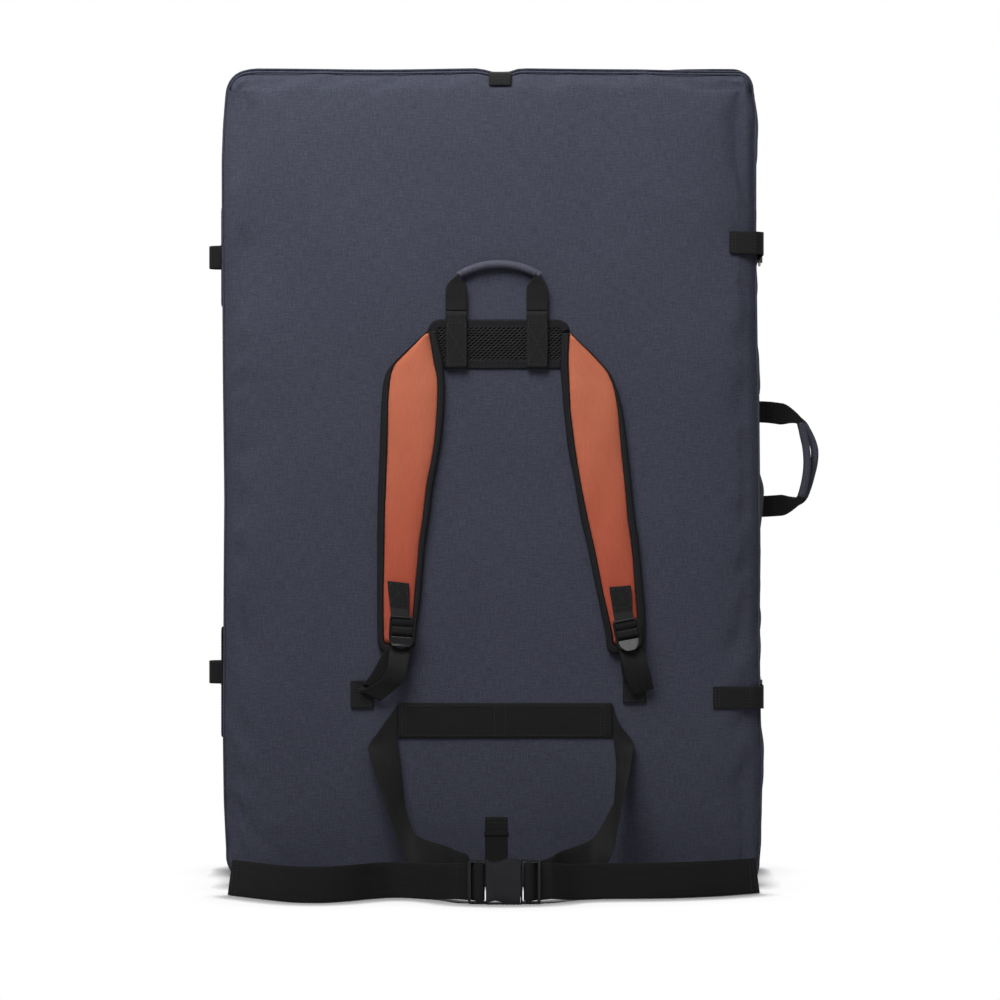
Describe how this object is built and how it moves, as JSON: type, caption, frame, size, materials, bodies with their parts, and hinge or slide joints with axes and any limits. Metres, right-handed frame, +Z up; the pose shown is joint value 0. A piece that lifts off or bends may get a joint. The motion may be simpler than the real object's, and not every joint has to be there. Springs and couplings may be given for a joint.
{
  "type": "bouldering crash pad",
  "caption": "Folded landing pad standing on end, carried like a backpack, with a hinge fold, hooked closure straps, padded shoulder straps and a waist belt.",
  "frame": {"origin": "on the floor, under the middle of the bounding box of the folded pad and its belt", "axes": "+Z up along the pad's long side, +X to the right seen from the harness side, +Y from the harness half to the other half"},
  "size_m": [0.6784, 0.3362, 0.899],
  "materials": {
    "navy_fabric": "coarse woven, matte",
    "black_webbing": "ribbed woven tape",
    "black_fabric": "coated woven, matte",
    "black_mesh": "air mesh",
    "orange_fabric": "fine woven, matte",
    "closed_cell_foam": "closed-cell foam",
    "open_cell_foam": "open-cell foam",
    "moulded_plastic": "moulded, satin",
    "hook_metal": "satin metal"
  },
  "bodies": {
    "front_half": {"front_cover": "navy_fabric", "front_landing_foam": "closed_cell_foam", "front_core_foam": "open_cell_foam", "front_base_foam": "closed_cell_foam", "fold_hinge_strip": "black_fabric", "closure_tab_top": "black_webbing", "closure_tab_bottom": "black_webbing", "closure_tab_upper": "black_webbing", "closure_tab_lower": "black_webbing", "hinge_side_patch_upper": "black_fabric", "hinge_side_patch_lower": "black_fabric", "lash_loop_upper": "black_webbing", "lash_loop_lower": "black_webbing", "yoke_mesh_panel": "black_mesh", "yoke_tape_frame": "black_webbing", "haul_leg_left": "black_webbing", "haul_leg_right": "black_webbing", "left_adjuster_webbing": "black_webbing", "right_adjuster_webbing": "black_webbing", "left_strap_anchor": "black_webbing", "right_strap_anchor": "black_webbing", "belt_anchor_band": "black_webbing"},
    "rear_half": {"rear_cover": "navy_fabric", "rear_landing_foam": "closed_cell_foam", "rear_core_foam": "open_cell_foam", "rear_base_foam": "closed_cell_foam", "closure_keeper_top": "black_webbing", "closure_keeper_bottom": "black_webbing", "closure_keeper_upper": "black_webbing", "closure_keeper_lower": "black_webbing"},
    "front_foam_flap": {"front_foam_flap": "black_fabric"},
    "rear_foam_flap": {"rear_foam_flap": "black_fabric"},
    "haul_handle": {"haul_webbing": "black_webbing", "haul_grip": "navy_fabric"},
    "front_carry_handle": {"front_carry_webbing": "black_webbing", "front_carry_grip": "navy_fabric"},
    "rear_carry_handle": {"rear_carry_webbing": "black_webbing", "rear_carry_grip": "navy_fabric"},
    "left_shoulder_strap": {"left_strap_pad": "orange_fabric", "left_strap_binding": "black_webbing", "left_strap_tab": "black_webbing"},
    "left_ladder_lock": {"left_ladder_lock": "moulded_plastic"},
    "right_shoulder_strap": {"right_strap_pad": "orange_fabric", "right_strap_binding": "black_webbing", "right_strap_tab": "black_webbing"},
    "right_ladder_lock": {"right_ladder_lock": "moulded_plastic"},
    "closure_top": {"closure_strap_top": "black_webbing", "closure_hook_top": "hook_metal"},
    "closure_bottom": {"closure_strap_bottom": "black_webbing", "closure_hook_bottom": "hook_metal"},
    "closure_upper": {"closure_strap_upper": "black_webbing", "closure_hook_upper": "hook_metal"},
    "closure_lower": {"closure_strap_lower": "black_webbing", "closure_hook_lower": "hook_metal"},
    "waist_belt": {"belt_webbing_left": "black_webbing", "belt_webbing_right": "black_webbing", "buckle_female": "moulded_plastic"},
    "buckle_plug": {"buckle_male": "moulded_plastic"},
    "latch_arm_upper": {"buckle_latch_arm_upper": "moulded_plastic"},
    "latch_arm_lower": {"buckle_latch_arm_lower": "moulded_plastic"}
  },
  "joints": [
    {"name": "pad_fold", "type": "hinge", "parent": "front_half", "child": "rear_half", "pos_m": [-0.3245, 0.0681, 0.445], "axis": [0, 0, 1], "range_deg": [0, 180], "deforming": ["fold_hinge_strip", "lash_loop_upper", "lash_loop_lower"]},
    {"name": "front_flap_swing", "type": "hinge", "parent": "front_half", "child": "front_foam_flap", "pos_m": [0.127, 0.0501, 0.8903], "axis": [-1, 0, 0], "range_deg": [0, 90]},
    {"name": "rear_flap_swing", "type": "hinge", "parent": "rear_half", "child": "rear_foam_flap", "pos_m": [0.127, 0.0861, 0.8903], "axis": [1, 0, 0], "range_deg": [0, 90]},
    {"name": "haul_handle_swing", "type": "hinge", "parent": "front_half", "child": "haul_handle", "pos_m": [-0.0175, -0.03975, 0.6285], "axis": [1, 0, 0], "range_deg": [0, 135]},
    {"name": "front_carry_swing", "type": "hinge", "parent": "front_half", "child": "front_carry_handle", "pos_m": [0.2705, 0.0609, 0.468], "axis": [0, 0, -1], "range_deg": [0, 80]},
    {"name": "rear_carry_swing", "type": "hinge", "parent": "rear_half", "child": "rear_carry_handle", "pos_m": [0.2705, 0.0753, 0.468], "axis": [0, 0, 1], "range_deg": [0, 80]},
    {"name": "left_strap_swing", "type": "hinge", "parent": "front_half", "child": "left_shoulder_strap", "pos_m": [-0.0175, -0.0356, 0.6095], "axis": [-1, 0, 0], "range_deg": [0, 20], "deforming": ["left_adjuster_webbing"]},
    {"name": "left_lock_tilt", "type": "hinge", "parent": "left_shoulder_strap", "child": "left_ladder_lock", "pos_m": [-0.1227, -0.0474, 0.2927], "axis": [-0.9976, 0, 0.0698], "range_deg": [0, 40], "deforming": ["left_adjuster_webbing"]},
    {"name": "right_strap_swing", "type": "hinge", "parent": "front_half", "child": "right_shoulder_strap", "pos_m": [-0.0175, -0.0356, 0.6095], "axis": [-1, 0, 0], "range_deg": [0, 20], "deforming": ["right_adjuster_webbing"]},
    {"name": "right_lock_tilt", "type": "hinge", "parent": "right_shoulder_strap", "child": "right_ladder_lock", "pos_m": [0.1185, -0.0474, 0.2895], "axis": [-0.9816, 0, -0.1908], "range_deg": [0, 40], "deforming": ["right_adjuster_webbing"]},
    {"name": "closure_top_swing", "type": "hinge", "parent": "front_half", "child": "closure_top", "pos_m": [-0.0175, -0.0149, 0.89185], "axis": [1, 0, 0], "range_deg": [0, 150]},
    {"name": "closure_bottom_swing", "type": "hinge", "parent": "front_half", "child": "closure_bottom", "pos_m": [-0.0175, -0.0149, 0.00815], "axis": [-1, 0, 0], "range_deg": [0, 150]},
    {"name": "closure_upper_swing", "type": "hinge", "parent": "front_half", "child": "closure_upper", "pos_m": [0.27135, -0.0149, 0.7035], "axis": [0, 0, -1], "range_deg": [0, 150]},
    {"name": "closure_lower_swing", "type": "hinge", "parent": "front_half", "child": "closure_lower", "pos_m": [0.27135, -0.0149, 0.2075], "axis": [0, 0, -1], "range_deg": [0, 150]},
    {"name": "belt_swing", "type": "hinge", "parent": "front_half", "child": "waist_belt", "pos_m": [-0.0175, -0.0322, 0.202], "axis": [-1, 0, 0], "range_deg": [0, 90]},
    {"name": "buckle_release", "type": "slide", "parent": "waist_belt", "child": "buckle_plug", "axis": [1, 0, 0], "range_m": [0, 0.04], "deforming": ["belt_webbing_right", "buckle_latch_arm_upper", "buckle_latch_arm_lower"]},
    {"name": "latch_arm_upper_squeeze", "type": "hinge", "parent": "buckle_plug", "child": "latch_arm_upper", "pos_m": [-0.0006, -0.1619, 0.0345], "axis": [0, -1, 0], "range_deg": [0, 12], "stiffness_Nm_per_rad": 0.01},
    {"name": "latch_arm_lower_squeeze", "type": "hinge", "parent": "buckle_plug", "child": "latch_arm_lower", "pos_m": [-0.0006, -0.1619, 0.0127], "axis": [0, 1, 0], "range_deg": [0, 12], "stiffness_Nm_per_rad": 0.01}
  ],
  "couplings": [
    {"joint": "latch_arm_lower_squeeze", "follows": "latch_arm_upper_squeeze", "ratio": 1}
  ]
}
